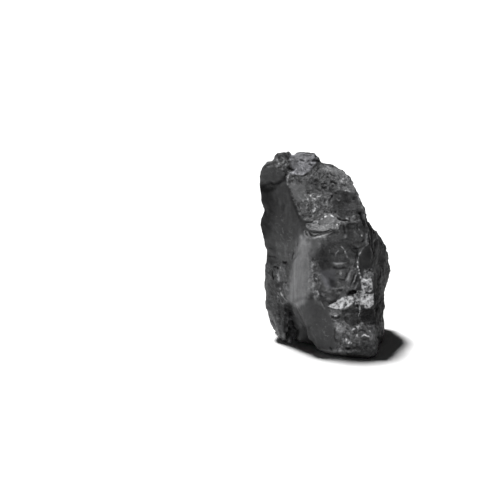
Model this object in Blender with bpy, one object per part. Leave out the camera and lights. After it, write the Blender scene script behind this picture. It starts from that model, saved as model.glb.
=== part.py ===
"""Aquarium rock: one block of black, fractured stone that stands on its own flat underside.

The stone is roughed out as a few overlapping blocks, each the convex hull of its corners.
Clefts are cut from their union, the surface is worked evenly, pushed in and out by hollows, ledges
and noise, and then chiselled: each stroke shears a small flat off what stands proud.
Sizes are millimetres until the mesh is written. +X is to the right, +Y to the back, +Z up.
"""

import bmesh
import bpy
import numpy as np
from mathutils import Matrix, Vector, kdtree, noise

MM = 0.001
SEED = 7
STONE_COLOUR = (0.045, 0.046, 0.049, 1.0)
STONE_ROUGHNESS = 0.5

# Spacing of the worked surface, and about how many triangles the finished solid has.
VOXEL = 1.6
TRIANGLES = 9000
# How far the stone is rounded in under its lower edge, and from what height.
UNDERCUT_DEPTH = 5.0
UNDERCUT_HEIGHT = 6.0
# A stroke that finds fewer points than this is skipped.
FEWEST_POINTS = 6

# Each block is given by its corners (x, y, z). What lies under z = 0 is cut off flat.
BLOCKS = {
    "tower": [
        (-38, -14, 175), (-35, -20, 150), (-30, -25, 136), (-25, -31, 118), (-25, -34, 106),
        (-16, -29, 133), (-5, -27, 136), (12, -29, 132), (-18, -34, 126), (-5, -36, 123),
        (12, -35, 126), (28, -30, 122), (39, -20, 124), (42, -26, 98),
        (-11, -9, 178), (10, -4, 174), (-3, 16, 182), (6, 14, 181), (14, 9, 178), (23, 4, 171),
        (29, -3, 158), (34, -8, 143), (36, -8, 137),
        (-62, 5, 176), (-66, 6, 158), (-65, 8, 136), (-66, 8, 118), (-61, 7, 96),
        (-54, 30, 172), (-54, 38, 130), (-48, 40, 96), (-18, 46, 170), (12, 38, 168),
        (32, 32, 142), (40, 34, 105),
    ],
    "left_cap": [
        (-62, 6, 186), (-65, 6, 181), (-67, 5, 173), (-66, 6, 160), (-55, -2, 187), (-54, 8, 189),
        (-44, -12, 182), (-40, -17, 173), (-44, -15, 164), (-58, -4, 161),
        (-46, 18, 185), (-60, 20, 177), (-58, 22, 150), (-36, 10, 160),
    ],
    "crown_slope": [
        (-34, 2, 191), (-29, 3, 194), (-23, 4, 195.5), (-12, 4, 196), (-10, 2, 190),
        (-39, -15, 175), (-27, -18, 174), (-16, -15, 176), (-8, -4, 178),
        (-36, 20, 184), (-10, 20, 185), (-36, -12, 168), (-14, -12, 168), (-40, 40, 162),
        (-6, 42, 160),
    ],
    "crown_knob": [
        (-53, 0, 190), (-51, 0, 194), (-47, 0, 197.5), (-42, 2, 195.5), (-38, 3, 195),
        (-35, 2, 190), (-52, -6, 182), (-38, -8, 181), (-50, 14, 187), (-37, 16, 188),
        (-44, 6, 170), (-50, 32, 164), (-36, 34, 164),
    ],
    "brow": [
        (-24, -24, 135), (-5, -22, 140), (14, -23, 139), (20, -26, 134), (-24, -34, 125),
        (-6, -43, 121), (9, -43, 122), (19, -37, 127), (-16, -28, 114), (10, -28, 114),
    ],
    "ledge": [
        (4, -44, 52), (14, -38, 59), (28, -36, 64), (48, -32, 66), (12, -53, 49), (26, -55, 51),
        (48, -53, 50), (10, -44, 44), (48, -40, 42), (32, -34, 88), (46, -32, 88), (30, -30, 60),
    ],
    "pilaster": [
        (-25, -33, 113), (-35, -31, 91), (-27, -40, 88), (-15, -39, 89),
        (-33, -37, 54), (-24, -46, 56), (-10, -47, 52), (-24, -43, 34), (-9, -46, 14),
        (-20, -20, 100), (-20, -20, 20), (0, -30, 60),
    ],
    "front_foot": [
        (-10, -47, 52), (2, -50, 51), (12, -49, 51), (21, -49, 54), (27, -48, 57), (45, -48, 49),
        (17, -41, 58), (45, -43, 61), (-24, -43, 34), (-13, -43, 11), (-7, -44, -6),
        (7, -54, -6), (5, -54, 27), (27, -64, -6), (43, -65, -6), (28, -60, 22), (48, -55, 12),
        (44, -55, 24), (50, -44, -6), (0, -10, -6), (40, -10, 60), (0, -10, 60), (50, -10, -6),
    ],
    "core": [
        (-25, -34, 110), (-33, -30, 91), (-31, -34, 54), (-5, -36, 118), (28, -32, 118),
        (42, -26, 100), (46, -34, 81), (45, -43, 61), (44, -44, 40), (-60, 7, 94),
        (-62, 6, 70), (-62, 5, 45), (-54, 32, 126), (-54, 34, 40), (-50, 36, -6), (-36, 10, -6),
        (-22, -20, -6), (48, -30, -6), (56, 8, -6), (52, 42, -6), (10, 52, -6),
        (45, 44, 100), (54, 46, 50), (0, 54, 100), (-6, 58, 60),
    ],
    "right_slab": [
        (38, -4, 135), (40, 0, 127), (45, 4, 121), (53, 8, 118), (57, 12, 112), (58, 14, 104),
        (65, 18, 86), (67, 20, 76), (68, 20, 65), (66, 19, 52), (63, 14, 30), (59, 4, -6),
        (50, -38, -6), (47, -40, 40), (46, -33, 80), (42, -25, 100), (38, -16, 126),
        (28, 30, 134), (55, 42, 78), (60, 44, 40), (56, 40, -6), (10, 40, 60),
    ],
    "left_foot": [
        (-62, 8, 86), (-64, 6, 66), (-64, 5, 51), (-63, 2, 34), (-61, 0, 23), (-56, -3, 15),
        (-51, -6, 8), (-45, -12, 2), (-41, -15, -6), (-33, -20, -6), (-36, -20, 20),
        (-35, -24, 47), (-33, -28, 70), (-42, -14, 60), (-30, 0, -6), (-34, 25, -6),
        (-54, 30, 40), (-30, 20, 80),
    ],
}

# Clefts cut right out of the stone, given by their corners too.
CLEFTS = {
    "left_crevice": [
        (-39, -40, 46), (-37, -12, 41), (-42, -45, 8), (-24, -45, 8), (-42, -45, -9), (-20, -45, -9),
        (-39, 12, -9), (-24, 4, -9), (-38, 8, 13),
    ],
    "front_arch": [
        (-32, -62, -9), (-8, -60, -9), (-29, -61, 11), (-15, -63, 12), (-32, 3, -9), (-10, -17, -9),
        (-26, -4, 8),
    ],
    "pocket": [
        (-34, -63, 137), (20, -61, 140), (44, -64, 126), (55, -62, 104), (50, -61, 78), (29, -63, 46),
        (-12, -64, 36), (-50, -61, 84), (-7, -31, 100), (5, -27, 108), (20, -26, 107), (27, -30, 97),
        (22, -29, 87), (10, -32, 76), (-5, -34, 81),
    ],
    "brow_crack": [
        (-24, -50, 121), (20, -50, 125), (-20, -31, 121), (16, -30, 123), (-24, -50, 118),
        (20, -50, 120), (-8, -50, 115),
    ],
    "under_lip": [
        (14, -70, 43), (34, -70, 47), (56, -70, 49), (24, -46, 45), (44, -36, 47), (54, -34, 46),
        (34, -44, 33), (50, -36, 27), (22, -70, 38), (36, -70, 26), (56, -70, 22),
    ],
    "lip_notch": [
        (19, -60, 60), (31, -60, 58), (22, -33, 64), (30, -33, 63), (22, -60, 66), (29, -36, 69),
    ],
    "crown_hole": [
        (-41, -24, 181), (-31, -24, 181), (-34, -30, 172), (-38, -8, 186), (-33, -9, 184), (-35, -9, 178),
    ],
    "back_slant": [
        (-90, 50, 118), (70, 44, 136), (-90, 36, 186), (70, 24, 190), (-90, 90, 118), (70, 90, 136),
        (-90, 90, 215), (70, 90, 215), (-90, 28, 215), (70, 18, 215),
    ],
    "back_shear": [
        (-90, 64, 96), (-20, 60, 60), (30, 66, 20), (-90, 46, 20), (-40, 44, -9), (10, 58, -9),
        (-90, 110, 100), (40, 110, 20), (-90, 110, -9), (30, 110, -9),
    ],
    "left_corner": [
        (-80, 20, 150), (-56, 80, 150), (-46, 80, 150), (-80, 8, 70), (-30, 80, 70), (-80, 12, -9),
        (-38, 80, -9), (-80, 80, 70), (-80, 80, -9), (-80, 80, 150),
    ],
    "shoulder_crack": [
        (14, -30, 166), (31, -30, 150), (14, -30, 161), (31, -30, 146), (15, -2, 164), (28, -6, 150),
    ],
}

# Hollows pushed in along a direction: centre, half-widths across and up, depth, direction.
HOLLOWS = [
    ((24, -18, 150), (16, 18), 5, (-0.3, 1, -0.2)),
    ((-11, -18, 164), (6, 4), 4, (0.2, 1, 0)),
    ((1, -16, 159), (8, 3.5), 4, (0, 1, 0.2)),
    ((34, 52, 44), (26, 34), 9, (0, -1, 0)),
    ((-24, 44, 122), (24, 34), 8, (0.2, -1, -0.2)),
    ((-56, 24, 50), (20, 34), 9, (1, -0.4, 0)),
    ((60, 20, 40), (24, 30), 8, (-1, -0.2, 0)),
    ((40, 14, 116), (20, 22), 8, (-1, 0, -0.6)),
]

# Lumps that roughen the broken faces: height and wavelength.
LUMPS = [(3.5, 26), (2.4, 11)]

# Rounds of chisel strokes: how many, their radius, how far they lean, the most that each takes off.
CHISELS = [(120, 22, 0.25, 2.6), (500, 12, 0.3, 1.6), (1500, 6.5, 0.3, 0.9)]

# Broad smooth cleavage faces, where noise and chisel are held back: centre and radius.
SMOOTH_FACES = [
    ((-48, -8, 125), 30),
    ((-48, -6, 150), 22),
    ((-52, -5, 172), 12),
    ((-25, -40, 85), 16),
    ((-24, -42, 62), 16),
    ((-10, -48, 35), 18),
    ((-3, -48, 18), 16),
    ((-23, -6, 184), 13),
    ((-15, 4, 193), 8),
    ((-45, 1, 194), 8),
    ((-12, -32, 130), 12),
    ((2, -32, 130), 12),
    ((12, -31, 131), 9),
    ((16, -45, 55), 8),
    ((30, -44, 57), 8),
]


def hull(name, corners):
    """A closed convex block on these corners."""
    mesh = bpy.data.meshes.new(name)
    work = bmesh.new()
    for corner in corners:
        work.verts.new(corner)
    made = bmesh.ops.convex_hull(work, input=work.verts)
    inside = set(made["geom_interior"] + made["geom_unused"])
    bmesh.ops.delete(work, geom=[v for v in inside if isinstance(v, bmesh.types.BMVert)], context="VERTS")
    bmesh.ops.recalc_face_normals(work, faces=work.faces)
    work.to_mesh(mesh)
    work.free()
    block = bpy.data.objects.new(name, mesh)
    bpy.context.collection.objects.link(block)
    return block


def apply_modifier(obj, kind, **settings):
    """Adds one modifier and keeps what it makes."""
    modifier = obj.modifiers.new(kind.title(), kind)
    for key, value in settings.items():
        setattr(modifier, key, value)
    graph = bpy.context.evaluated_depsgraph_get()
    made = bpy.data.meshes.new_from_object(obj.evaluated_get(graph))
    obj.modifiers.clear()
    obj.data = made


def combine(rock, name, corners, operation):
    """Joins a block to the rock, or cuts it away."""
    other = hull(name, corners)
    apply_modifier(rock, "BOOLEAN", object=other, operation=operation, solver="EXACT")
    bpy.data.objects.remove(other)


def roughed_out():
    """The union of the blocks less the clefts, remeshed evenly."""
    names = list(BLOCKS)
    rock = hull("rock", BLOCKS[names[0]])
    for name in names[1:]:
        combine(rock, name, BLOCKS[name], "UNION")
    for name, corners in CLEFTS.items():
        combine(rock, name, corners, "DIFFERENCE")
    apply_modifier(rock, "REMESH", mode="VOXEL", voxel_size=VOXEL)
    return rock


def read(mesh):
    """The mesh's points and normals as arrays."""
    points = np.empty(len(mesh.vertices) * 3)
    mesh.vertices.foreach_get("co", points)
    normals = np.empty(len(mesh.vertices) * 3)
    mesh.vertices.foreach_get("normal", normals)
    return points.reshape(-1, 3), normals.reshape(-1, 3)


def write(mesh, points):
    mesh.vertices.foreach_set("co", points.ravel())
    mesh.update()


def ease(share):
    """0 to 1 with a soft start and end."""
    share = np.clip(share, 0, 1)
    return share * share * (3 - 2 * share)


def ruggedness(points):
    """1 on broken faces, and little on the smooth cleavage faces."""
    rugged = np.ones(len(points))
    for centre, radius in SMOOTH_FACES:
        distance = np.linalg.norm(points - centre, axis=1) / radius
        rugged = np.minimum(rugged, 0.15 + 0.85 * ease((distance - 0.75) / 0.5))
    return rugged


def press_hollow(mesh, centre, reach, depth, direction):
    """Pushes a round-bottomed hollow into the face that looks against the direction."""
    points, normals = read(mesh)
    inward = np.array(Vector(direction).normalized())
    offset = points - centre
    aside = np.cross(inward, (0, 0, 1))
    aside /= np.linalg.norm(aside)
    distance = np.hypot(offset @ aside / reach[0], offset @ np.cross(aside, inward) / reach[1])
    faces_it = ease(-(normals @ inward) * 2)
    near = ease(2 - np.abs(offset @ inward) / (2 * max(reach)))
    bowl = ease(1 - distance)
    write(mesh, points + np.outer(depth * bowl * faces_it * near, inward))


def roughen(mesh, height, size):
    """Pushes the broken faces in and out by noise of this wavelength."""
    points, normals = read(mesh)
    amount = ruggedness(points)
    wave = np.array([noise.noise(Vector(p) / size + Vector((SEED, 0, 0))) for p in points])
    write(mesh, points + normals * (height * wave * amount)[:, None])


def chisel(mesh, strokes, radius, tilt, bite, seed):
    """Shears flats off the surface. Each leans by up to tilt and takes off no more than the bite."""
    points, normals = read(mesh)
    rugged = ruggedness(points)
    tree = kdtree.KDTree(len(points))
    for index, point in enumerate(points):
        tree.insert(point, index)
    tree.balance()
    rng = np.random.default_rng(seed)
    for _ in range(strokes):
        middle = rng.integers(len(points))
        lean = rng.normal(size=3) * tilt
        size = radius * rng.uniform(0.7, 1.3)
        centre = points[middle].copy()
        near = np.array([found[1] for found in tree.find_range(centre, size)])
        if rng.random() > rugged[middle] or len(near) < FEWEST_POINTS:
            continue
        offset = points[near] - centre
        across = normals[near].mean(axis=0) + lean
        across /= np.linalg.norm(across)
        height = offset @ across
        level = max(np.quantile(height, 0.5), height.max() - bite)
        hold = ease((1 - np.linalg.norm(offset, axis=1) / size) * 4)
        points[near] -= np.outer(np.clip(height - level, 0, None) * hold * rugged[near], across)
    write(mesh, points)


def undercut(mesh):
    """Rounds the stone in under its lower edge, so that it stands on less than its whole plan."""
    points, _ = read(mesh)
    share = np.clip(1 - points[:, 2] / UNDERCUT_HEIGHT, 0, 1.5) ** 2
    outward = points[:, :2] / np.linalg.norm(points[:, :2], axis=1)[:, None]
    points[:, :2] -= outward * (UNDERCUT_DEPTH * share)[:, None]
    write(mesh, points)


def flat_underside(rock):
    """Cuts the stone off at z = 0, closed by a flat face."""
    work = bmesh.new()
    work.from_mesh(rock.data)
    everything = work.verts[:] + work.edges[:] + work.faces[:]
    cut = bmesh.ops.bisect_plane(
        work, geom=everything, plane_co=(0, 0, 0), plane_no=(0, 0, -1), clear_outer=True, dist=0.01
    )
    rim = [e for e in cut["geom_cut"] if isinstance(e, bmesh.types.BMEdge)]
    bmesh.ops.holes_fill(work, edges=rim, sides=0)
    bmesh.ops.triangulate(work, faces=work.faces)
    bmesh.ops.recalc_face_normals(work, faces=work.faces)
    work.to_mesh(rock.data)
    work.free()


def centre_on_origin(mesh):
    """Puts the middle of the underside of the stone's box at the origin, in metres."""
    points, _ = read(mesh)
    low, high = points.min(axis=0), points.max(axis=0)
    middle = (low + high) / 2
    mesh.transform(Matrix.Translation((-middle[0], -middle[1], 0)))
    mesh.transform(Matrix.Scale(MM, 4))


def stone():
    """Black stone, dull with a slight sheen on its fresh breaks."""
    material = bpy.data.materials.new("black_stone")
    material.use_nodes = True
    shader = material.node_tree.nodes["Principled BSDF"]
    shader.inputs["Base Color"].default_value = STONE_COLOUR
    shader.inputs["Roughness"].default_value = STONE_ROUGHNESS
    shader.inputs["Metallic"].default_value = 0.0
    return material


def main():
    for old in list(bpy.data.objects):
        bpy.data.objects.remove(old)
    rock = roughed_out()
    for hollow in HOLLOWS:
        press_hollow(rock.data, *hollow)
    for height, size in LUMPS:
        roughen(rock.data, height, size)
    for turn, (strokes, radius, tilt, bite) in enumerate(CHISELS):
        chisel(rock.data, strokes, radius, tilt, bite, SEED + turn)
    undercut(rock.data)
    apply_modifier(rock, "DECIMATE", ratio=TRIANGLES / (2 * len(rock.data.polygons)))
    flat_underside(rock)
    centre_on_origin(rock.data)
    rock.data.materials.clear()
    rock.data.materials.append(stone())


main()
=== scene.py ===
"""Looks of the aquarium rock: its fine surface, its stone, the studio and the camera.

The fine surface starts as a copy of the solid. It is remeshed at about 1.6 mm, halved where it faces
the camera, and its facets are eased away. It is then worked as clay: chiselled, creased, dented, rippled
and grained, while the same strokes paint how pale, how broken and how crystalline the stone is there,
and paint light and shade into its colour: shade in hollows, recesses and under overhangs, light deep
in the crevice, and highlights and glints on lips, rims and ridges.
Sculpting is in millimetres. A place on the front is (u, v): millimetres to the right and up, measured
on a plane that faces the camera. A stroke reaches the stone along the line of sight through it.
"""

import math
from functools import reduce

import bmesh
import bpy
import numpy as np
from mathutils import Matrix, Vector, kdtree, noise
from mathutils.bvhtree import BVHTree


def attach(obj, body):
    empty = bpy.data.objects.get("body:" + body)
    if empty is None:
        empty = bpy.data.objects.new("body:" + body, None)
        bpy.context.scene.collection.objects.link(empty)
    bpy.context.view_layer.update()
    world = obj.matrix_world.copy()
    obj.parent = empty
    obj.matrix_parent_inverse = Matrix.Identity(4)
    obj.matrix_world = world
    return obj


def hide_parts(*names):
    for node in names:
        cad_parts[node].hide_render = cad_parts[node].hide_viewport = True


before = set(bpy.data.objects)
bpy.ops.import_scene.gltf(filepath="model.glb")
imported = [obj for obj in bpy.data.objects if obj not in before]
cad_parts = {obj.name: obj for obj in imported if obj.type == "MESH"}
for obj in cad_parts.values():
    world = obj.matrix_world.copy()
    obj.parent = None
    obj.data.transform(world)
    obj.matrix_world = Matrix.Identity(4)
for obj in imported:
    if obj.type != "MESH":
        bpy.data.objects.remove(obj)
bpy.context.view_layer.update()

# Seeds of the strokes, and of the noise vectors, which would follow the clock without one.
SEED = 11
WARP_SEED = 4
MM = 0.001

# The stone: its grey where unpainted, its cool tint, its tint where bluish, its gloss, and how much
# gloss each stop of paleness adds, as smooth pale faces shine most.
STONE_ALBEDO = 0.0225
STONE_TINT = (0.988, 0.993, 1.012)
STONE_BLUISH = (0.975, 0.975, 1.045)
SPECULAR = 0.07
SPECULAR_PER_STOP = 0.02

# Camera: a long lens, 15 degrees above the horizon, straight in front of the stone.
CAMERA_ELEVATION = math.radians(15.0)
CAMERA_DISTANCE = 1.5
CAMERA_TARGET = Vector((-0.0760, 0.0030, 0.0942))
CAMERA_LENS_MM = 108.0
CAMERA_SENSOR_MM = 36.0
CAMERA_BACK = Vector((0, -math.cos(CAMERA_ELEVATION), math.sin(CAMERA_ELEVATION)))
CAMERA_UP = Vector((0, math.sin(CAMERA_ELEVATION), math.cos(CAMERA_ELEVATION)))
CAMERA_PLACE = CAMERA_TARGET + CAMERA_BACK * CAMERA_DISTANCE
# Where (u, v) = (0, 0) lies on the facing plane, from the camera's own axis.
FACING_ORIGIN = np.array((76.0, -91.0))

# The studio: a softbox overhead, leaning to the back and the left so that the shadow lies close in front
# and to the right, two fills from the camera's side for the stone alone, each with its power and lean, and
# a dim sky. Breadths and leans are in degrees.
SOFTBOX_POWER = 5.25
SOFTBOX_SPREAD = 12.0
SOFTBOX_LEAN = -17.0
SOFTBOX_SIDE = -15.0
FILLS = {"fill": (2.0, 30.0), "level_fill": (0.4, 72.0)}
FILL_SPREAD = 40.0
SKY_STRENGTH = 0.02
FLOOR_COLOUR = (0.9, 0.9, 0.9, 1)
FLOOR_REACH = 30.0

# The fine surface: its mesh size, the cosine to the camera past which that is halved, and the rounds of
# smoothing for all of it and for its calm faces.
VOXEL = 0.00156
FRONT_LIMIT = 0.2
FACET_EASING = 8
CALM_EASING = 45
# How rough the stone is away from the regions below, and how pale.
USUAL_BROKEN = 0.7
USUAL_TONE = 0.3
# A region fades out round the side of the stone, from this cosine to the camera up by this much.
SIDE_LIMIT = -0.5
SIDE_FADE = 0.4
# Strokes: how unsteady a line is, in millimetres, and over what share of its length its ends fade. A
# random crack's steps of a millimetre, how much each turns, and its depths. A crack or a chisel stroke
# that gets fewer steps or points than this is dropped.
WOBBLE = 0.7
TAPER = 0.3
CRACK_STEPS = (12, 44)
CRACK_TURN = 0.3
CRACK_DEPTHS = (-0.3, 0.4, 0.7)
FEWEST_STEPS = 6
FEWEST_POINTS = 5
# The shattered flats are wider than tall by the last of these.
FLAT_SHAPE = np.array((1.0, 1.0, 1.6))
# Smoothing inwards and outwards by turns, so that the stone doesn't shrink.
EASE_IN = 0.5
EASE_OUT = -0.52
# What the strokes paint: paleness in stops, which also carries painted light and shade, and shares of
# broken grain, crystal, streaks, flecks with painted glints, and blue.
PAINTS = ("tone", "broken", "crystal", "streak", "fleck", "cool")


def placed(name, data):
    """A new object of the scene."""
    made = bpy.data.objects.new(name, data)
    bpy.context.collection.objects.link(made)
    return made


def ease(share):
    """0 to 1 with a soft start and end."""
    share = np.clip(share, 0, 1)
    return share * share * (3 - 2 * share)


def noise_at(points, size, seed, octaves=1):
    """Smooth noise, about -1 to 1, of this wavelength in millimetres."""
    shift = Vector((seed * 17.3, seed * 5.1, -seed * 9.7))
    total = np.zeros(len(points))
    for octave in range(octaves):
        scale = 2**octave / size
        wave = [noise.noise(Vector(p) * scale + shift) for p in points]
        total += np.array(wave) / 1.6**octave
    return total


def noise_vectors(points, size):
    """Smooth noise vectors of this wavelength in millimetres."""
    return np.array([noise.noise_vector(Vector(p) / size) for p in points])


def read(items, name, width, kind=float):
    """One row of numbers for each item of a mesh."""
    values = np.empty(len(items) * width, dtype=kind)
    items.foreach_get(name, values)
    return values.reshape(-1, width)


def search_tree(points):
    """Finds which of the points is nearest to a place."""
    tree = kdtree.KDTree(len(points))
    for index, point in enumerate(points):
        tree.insert(point, index)
    tree.balance()
    return tree


class Clay:
    """The stone's fine surface: points to push about, and what is painted on them."""

    def __init__(self, mesh):
        self.mesh = mesh
        self.points = read(mesh.vertices, "co", 3) / MM
        self.edges = read(mesh.edges, "vertices", 2, int)
        self.paint = {name: np.zeros(len(self.points)) for name in PAINTS}
        self.settle()

    def settle(self):
        """Writes the points to the mesh, and reads its normals anew."""
        self.mesh.vertices.foreach_set("co", (self.points * MM).ravel())
        self.mesh.update()
        self.normals = read(self.mesh.vertices, "normal", 3)
        self.tree = search_tree(self.points)
        polygons = [list(p.vertices) for p in self.mesh.polygons]
        self.bvh = BVHTree.FromPolygons([Vector(p) for p in self.points], polygons)
        self.seen = self.facing_plane(self.points)
        to_camera = np.array(CAMERA_PLACE) / MM - self.points
        to_camera /= np.linalg.norm(to_camera, axis=1)[:, None]
        self.towards = (self.normals * to_camera).sum(axis=1)

    def facing_plane(self, points):
        """(u, v) of points, as the camera sees them."""
        offset = points - np.array(CAMERA_PLACE) / MM
        depth = -(offset @ np.array(CAMERA_BACK)) * MM / CAMERA_DISTANCE
        across = offset[:, 0] / depth
        up = offset @ np.array(CAMERA_UP) / depth
        return np.stack((across, up), axis=1) - FACING_ORIGIN

    def surface(self, u, v):
        """The point of the stone that the camera sees at (u, v)."""
        across, up = np.array((u, v)) + FACING_ORIGIN
        ray = Vector((across, 0, 0)) + CAMERA_UP * up - CAMERA_BACK * (CAMERA_DISTANCE / MM)
        place = self.bvh.ray_cast(CAMERA_PLACE / MM, ray.normalized())[0]
        return place if place else Vector(self.points[self.nearest_seen(u, v)])

    def nearest_seen(self, u, v):
        """The camera-facing vertex nearest to (u, v), for a place just off the outline."""
        miss = np.hypot(self.seen[:, 0] - u, self.seen[:, 1] - v) + 1000 * (self.towards < 0)
        return int(miss.argmin())

    def trace(self, path):
        """Points on the stone about every half millimetre along a path of (u, v), a little unsteady."""
        path = np.array(path, dtype=float)
        traced = []
        for start, end in zip(path[:-1], path[1:]):
            steps = max(2, int(np.linalg.norm(end - start) / 0.5))
            for share in np.linspace(0, 1, steps, endpoint=False):
                u, v = start + (end - start) * share
                sway = noise.noise_vector(Vector((u, v, SEED)) / 4) * WOBBLE
                traced.append(self.surface(u + sway.x, v + sway.y))
        return np.array(traced)

    def beside(self, traced, width):
        """Vertices within a width of a traced line: indices, distance 0 to 1, and share of its length."""
        found = set()
        for point in traced:
            found.update(index for _, index, _ in self.tree.find_range(Vector(point), width))
        found = np.array(sorted(found), dtype=int)
        apart = np.linalg.norm(self.points[found][:, None] - traced[None], axis=2)
        return found, apart.min(axis=1) / width, apart.argmin(axis=1) / max(1, len(traced) - 1)

    def carve(self, traced, width, depth, tone):
        """Cuts a groove along traced points, or raises a ridge where the depth is negative, and tones it."""
        found, apart, share = self.beside(traced, width)
        ends = ease(np.minimum(share, 1 - share) / TAPER + 0.15)
        strength = (1 - ease(apart)) * ends
        self.points[found] -= self.normals[found] * (depth * strength)[:, None]
        self.paint["tone"][found] += tone * strength

    def dab(self, u, v, width, height, depth, tone):
        """A dent or a small lump at (u, v), as wide and as high as given, and its tone."""
        off = np.hypot((self.seen[:, 0] - u) / width, (self.seen[:, 1] - v) / height)
        chosen = np.flatnonzero((off < 1) & (self.towards > 0))
        strength = 1 - ease(off[chosen])
        self.points[chosen] -= self.normals[chosen] * (depth * strength)[:, None]
        self.paint["tone"][chosen] += tone * strength

    def grab(self, u, v, reach, right, up):
        """Shifts what the camera sees within reach of (u, v), front and back alike."""
        off = np.hypot(self.seen[:, 0] - u, self.seen[:, 1] - v) / reach
        shift = np.array((right, 0, 0)) + np.array(CAMERA_UP) * up
        self.points += np.outer(1 - ease(off), shift)

    def crackle(self, count, seed, where):
        """Random cracks, each walking off over the stone from where it starts."""
        rng = np.random.default_rng(seed)
        starts = rng.choice(len(self.points), size=count, p=where / where.sum())
        for start in starts:
            place = Vector(self.points[start])
            heading = Vector(rng.normal(size=3))
            traced = []
            for _ in range(rng.integers(*CRACK_STEPS)):
                place, normal, _, _ = self.bvh.find_nearest(place + heading)
                if where[self.tree.find(place)[1]] == 0:
                    break
                traced.append(place)
                heading += Vector(rng.normal(size=3)) * CRACK_TURN
                heading -= normal * heading.dot(normal)
                heading.normalize()
            if len(traced) > FEWEST_STEPS:
                depth = rng.choice(CRACK_DEPTHS)
                tone = rng.uniform(0.4, 1.0) * (0.9 if depth < 0 else -1.0)
                self.carve(np.array(traced), rng.uniform(1.2, 2.2), depth, tone)

    def patch(self, outline, soft, ragged):
        """How far each vertex is inside an outline of (u, v), 0 to 1, ragged, and fading round the side."""
        outline = np.array(outline, dtype=float)
        edge = np.full(len(self.seen), np.inf)
        odd = np.zeros(len(self.seen), dtype=bool)
        for start, end in zip(outline, np.roll(outline, -1, axis=0)):
            side = end - start
            offset = self.seen - start
            share = np.clip((offset @ side) / (side @ side), 0, 1)
            edge = np.minimum(edge, np.linalg.norm(offset - share[:, None] * side, axis=1))
            if side[1]:
                spans = (offset[:, 1] < 0) != (offset[:, 1] < side[1])
                odd ^= spans & (offset[:, 0] < offset[:, 1] * side[0] / side[1])
        signed = np.where(odd, edge, -edge) + ragged
        return ease(0.5 + signed / soft) * ease((self.towards - SIDE_LIMIT) / SIDE_FADE)

    def between(self, points):
        """The mean of each point's neighbours."""
        count = np.bincount(self.edges.ravel())
        one, other = self.edges.T
        gathered = [
            np.bincount(one, axis[other], len(axis)) + np.bincount(other, axis[one], len(axis))
            for axis in points.T
        ]
        return (gathered / count).T

    def ease_facets(self, rounds, where):
        """Evens the surface out without shrinking it."""
        for step in (EASE_IN, EASE_OUT) * rounds:
            moved = (self.between(self.points) - self.points) * step
            self.points += moved * where[:, None]

    def roughen(self, height, size, seed, where):
        """Pushes the surface in and out by noise."""
        amount = height * noise_at(self.points, size, seed, octaves=2) * where
        self.points += self.normals * amount[:, None]

    def ripple(self, centre, spacing, height, where):
        """Rings of a shell-like break, around a centre on the stone."""
        away = np.linalg.norm(self.points - np.array(self.surface(*centre)), axis=1)
        away += 1.5 * noise_at(self.points, size=9, seed=5)
        self.points += self.normals * (height * where * np.sin(away * 2 * math.pi / spacing))[:, None]

    def shatter(self, spacing, step, tilt, seed, where):
        """Breaks the surface into small flats, each stepped in or out and tilted a little."""
        rng = np.random.default_rng(seed)
        count = int(len(self.points) / spacing**2)
        seeds = self.points[rng.choice(len(self.points), size=count, replace=False)]
        tree = search_tree(seeds * FLAT_SHAPE)
        warped = self.points + noise_vectors(self.points, spacing) * spacing * 0.25
        owner = np.array([tree.find(p)[1] for p in warped * FLAT_SHAPE])
        steps = rng.uniform(-step, step, count)[owner]
        leans = rng.normal(size=(count, 3))[owner] * tilt
        amount = steps + ((self.points - seeds[owner]) * leans).sum(axis=1)
        amount = np.clip(amount, -2 * step, 2 * step) * where
        self.points += self.normals * amount[:, None]

    def wear_and_shade(self, reach, strength):
        """Pales proud edges, as wear, and paints shade into hollows, judged over a reach in millimetres."""
        smooth = self.points
        for _ in range(int(reach**2)):
            smooth = self.between(smooth)
        proud = ((self.points - smooth) * self.normals).sum(axis=1)
        proud /= np.percentile(np.abs(proud), 90)
        self.paint["tone"] += strength * np.clip(proud, -1.5, 1.5)

    def chisel(self, strokes, radius, tilt, bite, seed, where):
        """Shears small flats off what stands proud, where the stone is broken."""
        rng = np.random.default_rng(seed)
        chance = where / where.sum()
        for middle in rng.choice(len(self.points), size=strokes, p=chance):
            lean = rng.normal(size=3) * tilt
            size = radius * rng.uniform(0.6, 1.4)
            centre = self.points[middle].copy()
            near = np.array([index for _, index, _ in self.tree.find_range(Vector(centre), size)])
            if len(near) < FEWEST_POINTS:
                continue
            offset = self.points[near] - centre
            across = self.normals[near].mean(axis=0) + lean
            across /= np.linalg.norm(across)
            height = offset @ across
            level = max(np.quantile(height, 0.5), height.max() - bite)
            hold = ease((1 - np.linalg.norm(offset, axis=1) / size) * 4)
            take = np.clip(height - level, 0, None) * hold * where[near]
            self.points[near] -= np.outer(take, across)

    def finish(self):
        """Keeps the paint with the mesh."""
        self.settle()
        for name, values in self.paint.items():
            layer = self.mesh.attributes.new(name, "FLOAT", "POINT")
            layer.data.foreach_set("value", values)


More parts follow.
